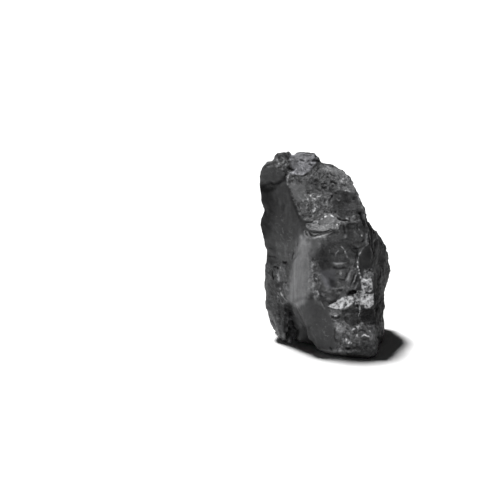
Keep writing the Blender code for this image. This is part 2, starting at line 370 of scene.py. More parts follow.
# Regions of the front: softness of the edge, tone in stops of paleness, other paint, and the outline in
# (u, v). Broken is how rough the break is there, in place of the usual.
REGIONS = {
    "knob": (2, 0.6, {"broken": 0.7}, (-53, 181), (-52, 188), (-47, 191), (-34, 189), (-33, 184), (-38, 180)),
    "crown_left": (2, 1.05, {"fleck": 0.5, "broken": 0.7}, (-62, 177), (-56, 182), (-45, 184), (-36, 182),
        (-34, 170), (-42, 168), (-46, 174), (-58, 174)),
    "crown": (2, 1.7, {"fleck": 0.3, "broken": 0.6, "cool": 1}, (-37, 188), (-26, 189), (-9, 189), (-8, 181),
        (-12, 176), (-16, 170), (-23, 166), (-38, 166.5), (-33, 171), (-36, 178)),
    "crown_shade": (2, -0.8, {}, (-36, 181), (-28, 181), (-27, 172), (-33, 171)),
    "crown_light": (2, 0, {"fleck": 0.5}, (-27, 178), (-18, 178), (-17, 171), (-22, 168), (-27, 169)),
    "cap": (3, 0.5, {"broken": 0.08}, (-66, 172), (-60, 174), (-50, 174), (-42, 170), (-41, 162), (-48, 159),
        (-56, 157), (-66, 155)),
    "cap_shadow": (3, -1.2, {}, (-66, 159.5), (-61, 158), (-56, 160), (-52, 158.5), (-47, 161), (-43, 165),
        (-41, 167), (-40, 162), (-46, 156.5), (-50, 152), (-56, 149), (-66, 148)),
    "left_face": (3, 0.4, {"streak": 0.5, "broken": 0.08}, (-68, 157), (-44, 160), (-39, 158), (-34, 138),
        (-28, 122), (-23, 108), (-26, 92), (-34, 80), (-66, 80), (-68, 120)),
    "left_face_low": (6, 0.75, {}, (-50, 99), (-32, 101), (-31, 94), (-36, 80), (-40, 60), (-50, 60)),
    "left_face_dark": (9, -1.5, {}, (-68, 156), (-54, 152), (-52, 130), (-57, 106), (-68, 102)),
    "brow_slope": (2, 1.5, {"broken": 0.75}, (-40, 166), (-20, 165), (-6, 178), (14, 172), (26, 160),
        (33, 146), (39, 130), (40, 118), (12, 118), (-20, 120), (-26, 124), (-34, 143), (-39, 156)),
    "brow_smooth": (4, 0.3, {"broken": 0.2}, (-38, 158), (-30, 157), (-20, 157), (-20, 143), (-26, 138),
        (-32, 142)),
    "speckled": (5, 0, {"fleck": 1}, (-24, 148), (-16, 152), (-4, 149), (0, 143), (1, 133), (-1, 124),
        (-12, 121), (-22, 124), (-28, 134)),
    "shoulder_dark": (2, -1.2, {"broken": 0.35}, (5, 146), (12, 151), (20, 150), (30, 147), (34, 138),
        (36, 128), (26, 126), (18, 123), (8, 129)),
    "shoulder_corner": (3, -1, {}, (29, 130), (38, 131), (40, 118), (30, 117)),
    "shoulder_rim": (4, 0.6, {"fleck": 0.25, "broken": 0.6}, (-4, 180), (6, 179), (18, 170), (27, 161),
        (32, 150), (26, 149), (16, 152), (4, 164)),
    "lens": (1, 1.6, {"fleck": 0.3, "broken": 0.15}, (-21, 117), (-14, 119), (-8, 121), (-3, 123), (4, 127),
        (9, 124), (15, 120), (15, 116), (12, 112), (5, 110.5), (-3, 110), (-12, 110.5), (-18, 112)),
    "lens_top": (1, -0.8, {}, (-12, 121), (-3, 123), (4, 126), (9, 124), (14, 121), (14, 119), (-10, 119)),
    "lens_low": (1, 0.4, {"fleck": 0.5, "broken": 0.55}, (-20, 117), (14, 118.5), (13, 112), (5, 110.5),
        (-12, 110.5), (-18, 112)),
    "lens_end": (3, -0.4, {"fleck": 1, "broken": 0.7}, (9, 121), (15, 121), (17, 117), (14, 111), (8, 111)),
    "lip_below": (2, 1.2, {"fleck": 0.4, "broken": 0.7}, (-22, 111), (-16, 109), (-8, 108), (0, 108),
        (4, 106), (-4, 103), (-16, 102), (-21, 105)),
    "pilaster": (8, 2.4, {"streak": 0.7, "broken": 0.06}, (-26, 106), (-19, 104), (-15, 92), (-13.5, 72),
        (-14, 52), (-21, 36), (-30, 32), (-38, 38), (-38, 52), (-36, 70), (-33, 86), (-28, 98)),
    "pilaster_side": (6, 1.2, {"broken": 0.08}, (-17, 104), (-3, 103), (-5, 92), (-10, 84), (-15, 84)),
    "pilaster_foot": (4, 0.3, {"fleck": 0.4, "broken": 0.5}, (-16, 84), (-8, 84), (-6, 72), (-6, 60),
        (-6, 46), (-12, 43), (-18, 52), (-17, 70)),
    "pilaster_end": (5, -0.7, {}, (-34, 42), (-20, 44), (-18, 36), (-28, 30), (-36, 34)),
    "pilaster_rubble": (3, 1.5, {"broken": 0.7, "fleck": 0.4}, (-15, 80), (-8, 80), (-7, 62), (-6, 44),
        (-11, 42), (-14, 50), (-14, 66)),
    "pocket": (3, 0.85, {"broken": 0.35}, (-8, 104), (6, 108), (28, 112), (38, 110), (42, 98), (34, 84),
        (32, 66), (28, 52), (20, 44), (4, 40), (-6, 46), (-8, 70)),
    # Painted shade where the top of the pocket is overhung.
    "pocket_shade": (8, -1.1, {}, (-6, 92), (0, 93), (5, 84), (5, 76), (0, 71), (-6, 74)),
    "pocket_knuckle": (3, -0.3, {}, (25, 114), (33, 114), (34, 104), (28, 101), (24, 106)),
    "pocket_bank": (3, 0.8, {}, (23, 82), (30, 83), (31, 76), (34, 66), (30, 64), (25, 70)),
    "pocket_sill": (4, 0.9, {}, (-12, 45), (-4, 47), (5, 41), (2, 33), (-10, 38)),
    "pocket_floor": (3, 0.6, {"broken": 0.35}, (-6, 72), (26, 72), (26, 44), (4, 40), (-6, 46)),
    "blue_plane": (3, -0.1, {"broken": 0.05, "cool": 1}, (-6, 71), (9, 71), (10, 62), (9, 54), (3, 52),
        (-3, 58)),
    "blue_stripe": (2, 0.8, {}, (-5, 68), (-2, 66), (2, 58), (3, 51), (0, 51), (-2, 57), (-5, 63)),
    "blue_dark": (3, -1.6, {}, (3, 63), (7, 61), (11, 57), (9, 53), (5, 54)),
    "side_dark": (2, -0.4, {"broken": 0.1}, (34, 92), (38, 96), (44, 95), (46, 74), (40, 71), (34, 73)),
    "crystal_tip": (1, 1, {"crystal": 0.85, "broken": 0.35}, (2, 34.5), (8, 38.5), (14, 42), (20, 44.5),
        (25, 44.5), (28, 42), (28, 38), (24, 36), (19, 33), (12, 32), (7, 32.5)),
    "crystal_ledge": (1, 0.7, {"crystal": 0.72, "broken": 0.35}, (28, 46.5), (35, 46), (40, 47), (47.5, 47),
        (47.3, 36), (44, 33.8), (39, 34), (35, 37), (34, 40), (28, 39)),
    "crystal_gap": (1.5, 0.3, {"crystal": 0.5, "broken": 0.7}, (31, 50), (39, 52), (39, 46), (34.5, 45),
        (34.5, 38), (29, 36), (28, 46)),
    "crystal_band": (1.5, 0.7, {"crystal": 0.65, "broken": 0.35}, (35, 62), (40, 63), (46, 62), (46.5, 52),
        (44, 49), (35.5, 50)),
    "crystal_edge": (2, 0.4, {"crystal": 0.3, "broken": 0.9}, (39, 72), (45, 73), (47.5, 68), (47.5, 62),
        (36, 62), (38, 67)),
    "recess": (2, 0.2, {"broken": 0.75}, (18, 33), (26, 37), (34, 39), (36, 34), (46, 33), (53, 36), (53, 19),
        (46, 17), (36, 19), (28, 17), (16, 22)),
    # Painted shade in the recess under the crystal ledge.
    "recess_shade": (2, -1.1, {"broken": 0.4}, (36, 33), (48, 33), (50, 17), (38, 16), (35, 22)),
    "shaded_edge": (2, -1.5, {}, (48, 59), (57, 58), (57, 30), (52, 14), (48, 34)),
    "seam_rubble": (2, 1.7, {"broken": 0.6}, (4, 32), (15, 31), (16, 28), (9, 24), (4, 26)),
    "speckled_foot": (6, 1.55, {"fleck": 0.7, "broken": 0.8}, (4, 32), (14, 22), (26, 18), (46, 19), (52, 2),
        (50, -8), (22, -12), (10, -10), (9, 10)),
    "pale_lump": (4, 1, {"fleck": 0.8}, (8, 19), (13, 19), (18, 14), (20, 4), (23, -2), (17, -2), (13, 6),
        (9, 14)),
    "dome": (2, -0.1, {"fleck": 0.5}, (30, 13), (35, 18), (41, 18), (45, 13), (46, 5), (38, 3), (31, 4)),
    # Painted shade: darker towards the bottom of the broken foot.
    "foot_base_shade": (3, -0.7, {"fleck": 0.1}, (24, -3), (33, 2), (46, 2), (54, 5), (54, -9), (16, -9), (16, -6)),
    "foot_shade": (2.5, -0.8, {}, (34, 3), (44, 3), (46, -7), (34, -8)),
    # Painted light along the stone's bottom near the floor, lifting the shade there.
    "foot_rim_light": (2, 1.3, {"fleck": 0.2}, (-14, -7), (10, -9), (20, -9), (20, -20), (-14, -20)),
    "smooth_foot": (3, 0.7, {"streak": 0.4, "broken": 0.08}, (-22, 42), (-6, 40), (4, 32), (8, 14), (10, -12),
        (-10, -12), (-24, 8), (-34, 26), (-32, 38)),
    "left_foot": (3, 0.75, {"fleck": 0.35, "streak": 0.6, "broken": 0.5}, (-64, 78), (-42, 78), (-38, 60),
        (-38, 36), (-42, -4), (-56, 12), (-62, 30)),
    "left_foot_pale": (2, 0.95, {"fleck": 0.4}, (-58, 32), (-54, 30), (-48, 12), (-46, 2), (-53, 8),
        (-60, 22)),
    # The crevice: painted shade at its top, and painted light on its wall and floor, which lie in deep shade.
    "crevice": (2, -1.8, {}, (-41.5, 37), (-37, 38.5), (-35, 34), (-31, 26), (-41, 24)),
    "crevice_bank": (1.5, -1.6, {}, (-43, 32), (-39.5, 32), (-38.5, 8), (-42, 8)),
    "crevice_wall_light": (1.5, 1.5, {}, (-39, 23), (-35, 23), (-33, 13), (-38.5, 13)),
    "base_shade": (4, -0.8, {}, (-28, 12), (-16, 16), (-11, -4), (-28, -4)),
    "crevice_floor_light": (3, 2, {}, (-38, 12), (-30, 12), (-27, 4), (-27, -3), (-39, -3)),
    # Painted shade down the right side; its streaks are its own.
    "right_side_shade": (2, -1.2, {"streak": 1, "broken": 0.45}, (42, 118), (56, 112), (66, 92), (70, 60),
        (66, -12), (50, -10), (49, 60), (46, 90)),
}

# Grooves along the front, and ridges where the depth is negative: width, depth, tone and path.
LINES = [
    # The head: arcs along the top of its left block, and the creases up to the three-cornered hole, painted
    # dark as the shade in it.
    (1.8, -0.3, 0.5, (-62, 176), (-58, 179), (-52, 181)),
    (2.2, 0.5, -1.3, (-62, 172), (-59.5, 175), (-56, 177), (-51, 178.5), (-47, 176.5)),
    (1.4, 0.6, -1.3, (-40.5, 181), (-41, 178), (-43, 176.5)),
    (1.4, -0.3, 1.3, (-40, 179), (-40.5, 172)),
    (1.6, 0.7, -1.1, (-45, 170), (-37, 169)),
    (2.6, 0.5, -0.9, (-38, 184), (-36, 176), (-33, 171)),
    (1.8, -0.3, 0.5, (-36, 179), (-31, 172)),
    (2.6, 1, -1.9, (-39.5, 176), (-37, 172.5), (-35, 171), (-32.5, 170.3)),
    # The crown's layers, its lip painted pale as a highlight, and the dark line of painted shade under that.
    (1.1, 0.25, -0.7, (-31, 184.5), (-24, 185.5), (-14, 185)),
    (1.3, 0.4, -0.9, (-25, 186.8), (-20, 186.2), (-14, 184)),
    (1.5, 0.7, -2.4, (-27, 181.5), (-24, 180.5), (-21, 179.5)),
    (1.5, 0.7, -2, (-17, 178), (-14, 174.5)),
    (1.4, -0.3, 0.5, (-18, 177), (-12, 178.2), (-6, 178.2)),
    (2.6, 1.4, -2.2, (-15, 180.5), (-11, 181), (-6, 179.5)),
    (2.2, -0.6, 1.7, (-38, 169.3), (-33, 168), (-30, 167), (-26, 166.6), (-22, 167.5), (-17.5, 169.5)),
    (1.4, 0.9, -1.5, (-27, 164.6), (-22, 165.8), (-17, 166.8)),
    (1.4, 0.5, -1, (-34, 164.4), (-30, 164.4)),
    (1.9, -0.5, 1.5, (-36.5, 166.5), (-38.4, 163), (-39, 158), (-38, 155)),
    (1.8, 0.3, -0.4, (-41, 166), (-42.5, 161)),
    # The step under the cap, painted darker as the shade beneath it.
    (3, 1.3, -0.4, (-66, 154.5), (-61, 155.5), (-56, 158), (-52, 156.5), (-47, 158.5), (-42, 162)),
    # The crease between the smooth left face and the broken slope.
    (2.4, 0.25, -0.4, (-37.5, 152), (-35, 146), (-33, 140), (-30, 131), (-27, 124), (-23.5, 117)),
    (1.8, 0.2, -0.3, (-28, 137), (-25.5, 128), (-23, 121)),
    # Arcs under the lip, and the rubble, holes and cracks of the slope above the brow.
    (1.5, 0.4, -0.9, (-36, 161), (-34, 160), (-32, 157.5)),
    (1.5, -0.3, 0.5, (-35, 163), (-31, 162), (-29, 159.5)),
    (1.6, 0.7, -1.1, (-28, 161), (-26, 159.6), (-22.5, 159)),
    (1.5, -0.4, 0.7, (-15, 167), (-12, 163.5), (-8, 165)),
    (2.6, 2.4, -2.3, (-12, 160), (-9, 161), (-7, 159)),
    (1.6, -0.4, 0.6, (-5.5, 166), (-5, 159)),
    (1.4, 0.9, -1.4, (-5.4, 155.5), (-4, 157.2), (-1, 157.6), (2, 157)),
    (1.8, 1.4, -2.1, (-5.4, 155), (-4, 153.8), (-1.5, 153.3), (2, 154.5)),
    (1.1, -0.3, 0.6, (-2.5, 155.7), (2, 156)),
    (2, 1.2, -1.7, (4, 160), (8, 159.5), (11, 157), (12.5, 156)),
    (1.6, 0.8, -1.1, (15, 157), (18, 155.5), (20, 154.5)),
    (2.4, -0.4, 1.2, (13, 160), (18, 159), (23, 157.5)),
    (1.4, 0.8, -1.6, (3, 169), (6, 166.5), (9, 165), (11.5, 163.3)),
    (1.5, -0.4, 0.6, (15, 157), (19, 153.5), (24, 151)),
    (1.6, -0.5, 1.9, (17, 151.3), (21, 150), (26, 148.8)),
    (1.4, -0.4, 0.6, (4, 157.5), (8, 156.5)),
    (1.4, -0.4, 0.7, (11, 155), (15, 154)),
    (1.6, 0.7, -1.4, (9, 149), (11, 146.5)),
    (1.8, 0.9, -1.6, (6, 146.5), (6.5, 143)),
    (1.4, -0.4, 1.7, (10, 142.5), (12, 140.4), (15.5, 141)),
    (1.4, -0.3, 1.3, (31, 147), (33, 141), (34, 134)),
    (1.3, -0.3, 0.6, (26, 141), (30, 140)),
    (2.6, -0.4, 0.7, (26, 127), (30, 126.5)),
    # Pale veins and pits of the speckled slope.
    (1.4, -0.3, 2.2, (-10, 144), (-6, 145), (-3.5, 146.3)),
    (1.4, -0.3, 1.6, (-19, 148), (-16, 145), (-13, 142.5), (-10, 142)),
    (1.5, -0.3, 1.4, (-23, 141), (-18, 141.5), (-16, 143)),
    (1.2, 0.5, -1.5, (-19, 149.5), (-15, 145.7)),
    (1.4, -0.4, 2.3, (-14, 132), (-12.5, 129.3), (-10, 132)),
    (1.2, -0.3, 0.7, (1, 137), (1.5, 133), (-0.5, 131)),
    (1.4, -0.3, 1.6, (-12, 137), (-8, 134), (-6, 134)),
    (1.4, -0.3, 1.6, (-8, 127), (-5, 125.5)),
    (1.8, 0.8, -1.8, (4.5, 129.5), (7, 128)),
    # The brow: its pale rim, a painted highlight, the crack beneath, the pale lip below and the ribs at its
    # left end.
    (1.4, 0.7, -1.4, (-21, 119), (-16, 118.5), (-12, 119.5)),
    (1.4, -0.5, 2.3, (4.6, 126), (8.8, 124.2)),
    (1.3, -0.4, 1.9, (-2, 123), (1.5, 124.8)),
    (1.5, -0.4, 1.7, (-6, 121.8), (-3, 122.2)),
    (1.5, 1, -2, (10, 124), (15, 121.3), (19, 120.3), (24, 120.3)),
    (1.2, -0.3, 1, (19.5, 122.3), (23, 122.2)),
    (1.3, -0.2, 0.6, (14, 117.5), (18, 117)),
    (1.4, -0.3, 1.7, (11, 117), (11.5, 113)),
    (1, 0.7, -1.7, (-17, 109.5), (-13, 108.5), (-8, 108), (-2, 109.5), (4, 110.6), (9, 111.8), (14, 112.8)),
    (1.6, -0.5, 2, (-15, 103.5), (-10, 104), (-6, 104.7), (-1, 106.5), (4, 108.2), (10, 110)),
    (1.2, -0.3, 1.6, (-16, 108), (-11, 106.8), (-7, 106.5)),
    (1.3, 0.6, -1.1, (-21, 110), (-17, 104)),
    (1.3, 0.6, -1.1, (-18, 110), (-13.5, 104)),
    (1.2, -0.3, 1.3, (-19.5, 109.5), (-15, 104)),
    (1.8, 0.8, -1.4, (17, 117), (18.5, 112), (20, 106)),
    # The seam down the right edge, and the cracks, painted glints and knuckle to its left.
    (2.6, 1.1, -1.5, (33, 129.5), (35.5, 125), (37.5, 118), (40, 112)),
    (4, 0.3, -0.9, (37.5, 123), (39, 117), (41, 110)),
    (2.6, 0.6, -0.9, (42.5, 113), (46, 111)),
    (1.3, -0.3, 0.9, (38, 128), (39, 121)),
    (2, 0.9, -1.6, (43.5, 101), (45, 96)),
    (2, 1, -2.2, (45.5, 94), (47, 90), (48, 85)),
    (1.2, -0.3, 1.4, (49, 95), (49.5, 90), (49, 85)),
    (1.4, 0.7, -1.4, (25, 92), (32, 92.5), (37, 95)),
    (1.2, -0.2, 1.6, (42, 96.5), (38, 94.5)),
    (1.6, -0.3, 1.5, (32.5, 113), (34, 110)),
    (1.4, -0.3, 1.6, (35, 106), (36, 103.5)),
    (2.4, 0.7, -1, (44, 112), (45.3, 104), (46, 97)),
    (1.7, -0.4, 3, (48.8, 103), (47.6, 99), (46.8, 97)),
    (1.3, -0.3, 1, (47, 108), (50, 100)),
    (2.4, -0.5, 1.3, (21, 113), (20, 107), (19, 101)),
    # Small cracks of the left face and foot.
    # A pale ridge at the crevice's edge: painted light where the crevice lies in shade.
    (2.4, -0.6, 1.6, (-38.5, 15), (-39.5, 2)),
    (1.4, 0.5, -1.2, (-59, 85), (-53, 84.5), (-49, 84)),
    (2.2, 1, -3.2, (-44.5, 79.3), (-41, 78.2), (-38, 79.5)),
    (1.7, 0.9, -3.2, (-53.5, 73.5), (-50, 74), (-46, 72)),
    (2.2, 0.8, -2.8, (-53, 72), (-53.5, 66), (-53, 60)),
    (1.2, -0.3, 1.2, (-46.5, 75), (-45.5, 72)),
    (1.4, -0.3, 1.6, (-46, 50), (-44.5, 46), (-41, 42), (-38, 39)),
    (1.4, 0.4, -1.2, (-48, 47), (-47, 40)),
    (3, -0.5, 1.3, (-49, 69), (-47, 63), (-47.5, 57)),
    (2.6, -0.4, 1, (-49, 46), (-47, 41)),
    (1.4, 0.4, -1, (-28, 98), (-29.5, 94)),
    (1.4, 0.5, -1.6, (-31.5, 90), (-33.5, 85), (-34.5, 80)),
    (1.2, 0.3, -0.8, (-58, 93), (-53, 92.5)),
    (3, -0.1, 0.5, (-41, 98), (-40, 84)),
    (2.4, 0.2, -0.5, (-50, 145), (-48.5, 141), (-50, 136)),
    (2.4, 0.2, -0.35, (-43, 139), (-42, 133), (-44, 128)),
    (2.4, -0.1, 0.4, (-46.5, 144), (-46, 130)),
    (3, -0.1, 0.5, (-39, 140), (-40, 124)),
    (3, -0.1, 0.3, (-37, 146), (-36, 128), (-33, 114)),
    (1.9, -0.5, 2.6, (-45.5, 49.5), (-43.5, 46.5), (-42, 44.5)),
    (1.5, -0.3, 1.6, (-47, 53), (-45, 51)),
    (1.4, -0.3, 1.3, (-48, 49), (-47.5, 45)),
    (1.3, -0.3, 1.3, (-47, 43), (-44, 37.5), (-39, 38)),
    (1.2, 0.4, -1, (-42, 46), (-39, 40)),
    (1.5, -0.4, 0.7, (-41.5, 34), (-42.5, 22)),
    (3, 0.5, -0.9, (-48, 40), (-46.5, 26), (-45.5, 14)),
    (1.1, 0.4, -1.1, (-26, 20), (-22.5, 14)),
    (1.1, -0.2, 0.4, (-24, 21), (-20, 13)),
    (1.8, -0.3, 0.3, (-16, 11), (-12, 4), (-8, -4)),
    # Left of the pocket: knobs and a glint on the pilaster's broken side.
    (1.6, -0.4, 0.6, (-14, 79), (-10, 77)),
    (1.5, 0.6, -1.3, (-14, 74), (-9, 74)),
    (1.6, -0.5, 3.2, (-11, 62), (-7.5, 62)),
    (1.6, 0.5, -0.7, (-12, 60), (-8, 59.5)),
    (1.6, -0.4, 1.4, (-9, 51), (-7.6, 46)),
    (1.3, 0.4, -0.9, (-15, 51), (-11, 50)),
    (1.5, 0.6, -0.9, (-5, 51.5), (-2, 47.5), (1, 50)),
    # In the pocket: thin veins, the ripple painted bright as a highlight over its dark arc of painted shade,
    # and the ridges that fan out below.
    (1.5, -0.3, 1.3, (3.5, 92), (3.2, 87)),
    (1.4, -0.4, 1.7, (12.5, 92), (10, 87), (9.5, 83)),
    (1.2, -0.2, 2, (15, 95.5), (17.5, 91.5)),
    (1, -0.2, 1.2, (15, 95.5), (17.5, 91.5), (20, 87), (21.5, 82)),
    (1.3, -0.3, 2, (18.5, 90.5), (20, 87)),
    (1.2, -0.2, 1.6, (20.3, 85.5), (21.5, 82)),
    (2.6, -0.4, 0.6, (-1, 106), (0, 94)),
    (2.2, 0.8, -0.9, (24, 92), (30, 88), (32, 84)),
    (2.6, -1, 1.9, (6.5, 78.6), (10, 77), (14, 77), (18, 78)),
    (2, -0.5, 0.8, (15, 77.5), (22, 79)),
    (1.8, 0.9, -1.5, (6, 74.5), (10, 73), (15, 72.3), (21, 74)),
    (2, -0.7, 0.7, (4, 53), (11, 52), (17, 54), (17.5, 51)),
    (1.1, 0.4, -0.7, (11, 50.3), (17, 51.3)),
    (3.2, -0.8, 1.4, (13, 67.5), (17, 67)),
    (1.5, 0.7, -1.3, (12, 62), (18, 61), (20, 59)),
    (1.5, 0.7, -1.1, (20.5, 69), (19, 62)),
    (1.5, -0.4, 0.6, (11, 59.5), (15, 57.5)),
    (2.8, -0.9, 1.6, (26.5, 72), (24, 67), (22, 62), (19.5, 58.5)),
    (1.6, 0.8, -1.5, (29.5, 69), (27, 63), (25, 58), (23.5, 54)),
    (1.3, -0.4, 1.4, (30.5, 67), (28.5, 60), (25.5, 57)),
    (1.4, 0.6, -1.1, (32, 68), (30, 60), (27, 54)),
    (1.4, -0.4, 1.2, (33, 60), (30, 54), (27, 50)),
    (1.6, -0.4, 0.7, (20, 56), (24, 52)),
    (1.6, -0.4, 0.7, (-6, 42), (-4, 36), (0, 30)),
    (1.2, 0.4, -1.1, (-4, 39), (-1, 33)),
    (2, 0.6, -0.9, (1, 40), (5, 37)),
    # The pale-lined crack down the right of the pocket, and the edges beside it.
    (1.1, -0.2, 1, (38.5, 94.5), (36, 92)),
    (1.3, -0.3, 1.3, (34.4, 89), (33.4, 87)),
    (1.2, -0.2, 1, (32.6, 84), (32, 82)),
    (1.8, -0.4, 1.8, (31.7, 79.5), (31.8, 77.5)),
    (1.6, -0.3, 2.8, (31.9, 75.5), (32.4, 73)),
    (1.6, -0.3, 3.4, (32.8, 71.5), (33.2, 69.5)),
    (1.6, -0.3, 3.2, (33.5, 68), (34, 66)),
    (1.7, -0.3, 3.6, (34.3, 64.8), (35.6, 61.5)),
    (1.3, -0.3, 1.9, (38.5, 94.5), (35.3, 91.3), (33.4, 87), (31.8, 81), (32, 74), (33.4, 69), (35.5, 61)),
    (1.1, 0.5, -0.9, (32.5, 92), (29.5, 84), (28.5, 77), (30.5, 70)),
    (1.6, -0.5, 2.9, (36, 63), (40, 61), (44, 62), (46.5, 61)),
    (2.4, -0.3, 1.9, (35.3, 107.5), (35.8, 103.5)),
    (3.3, -0.6, 2.1, (39.5, 109), (41.3, 104), (39.8, 99.5), (42, 96)),
    (1.5, -0.3, 2, (42, 98), (42.8, 95.5)),
    (2.2, 0.8, -1.5, (36, 101), (37, 98)),
    (3.2, 0.4, -0.7, (26, 95), (30, 91), (32, 87.5)),
    (1.3, -0.3, 1.4, (44, 95), (46, 88), (47, 82)),
    (1.5, -0.3, 1.3, (40, 118), (44, 104), (48, 94)),
    (2, 0.8, -1, (42, 112), (44, 100), (46, 92)),
    # Round the crystals: painted glints, the crack across them, and the black notch over their ledge, painted
    # as the shade under the overhang.
    (1.3, -0.3, 3.8, (34, 37), (33.5, 31), (33, 27), (32, 22)),
    (1.6, -0.4, 2, (5, 33.5), (10, 33)),
    (1.6, 0.6, -1.5, (40.5, 48.6), (47, 48.8)),
    (3, 3, -4, (20, 47), (23, 48.5), (29, 48.5)),
    (2.6, 1, -3, (30, 34.5), (33, 36)),
    # The broken foot: seam, rubble, the mound with its painted glints, and the dents painted dark as shade.
    (1.5, 0.4, -0.4, (9, 12), (8, 4), (11, -3)),
    (1.9, 1, -1.6, (5, 25), (10, 23), (16, 24.5)),
    (1.8, -0.5, 1.4, (19, 26), (22, 27.5)),
    (1.4, -0.4, 2.5, (25, 10), (28, 12), (31, 12.7)),
    (2.6, -0.6, 1.2, (30, 12), (35, 17.6), (40, 17.6), (44, 13)),
    (1.4, 0.7, -1.8, (31, 8), (34, 11), (38, 11), (41, 8)),
    (1.6, 0.8, -1.8, (26.5, 9), (30, 7)),
    (1.9, -0.5, 4.6, (30.5, 5.2), (32.5, 5.8)),
    (1.1, -0.4, 3.4, (35, 4.3), (38, 6.6), (41, 5), (45, 4.2)),
    (1.4, -0.3, 2.3, (43, 10.5), (45, 8.5)),
    (1.3, -0.3, 2.2, (20, 4), (21, -1)),
    (1.3, -0.3, 2.8, (23.4, 0), (22, -4)),
    (1.3, -0.3, 2.5, (25, -1), (25.6, -4)),
    (2.2, 1.8, -2.5, (18, -7), (22, -7.6), (25.5, -7)),
    (2, 0.8, -1.5, (3.5, -6), (6, -11)),
    (3, -0.5, 0.4, (46, 2), (50, 1.5), (53, -2)),
]

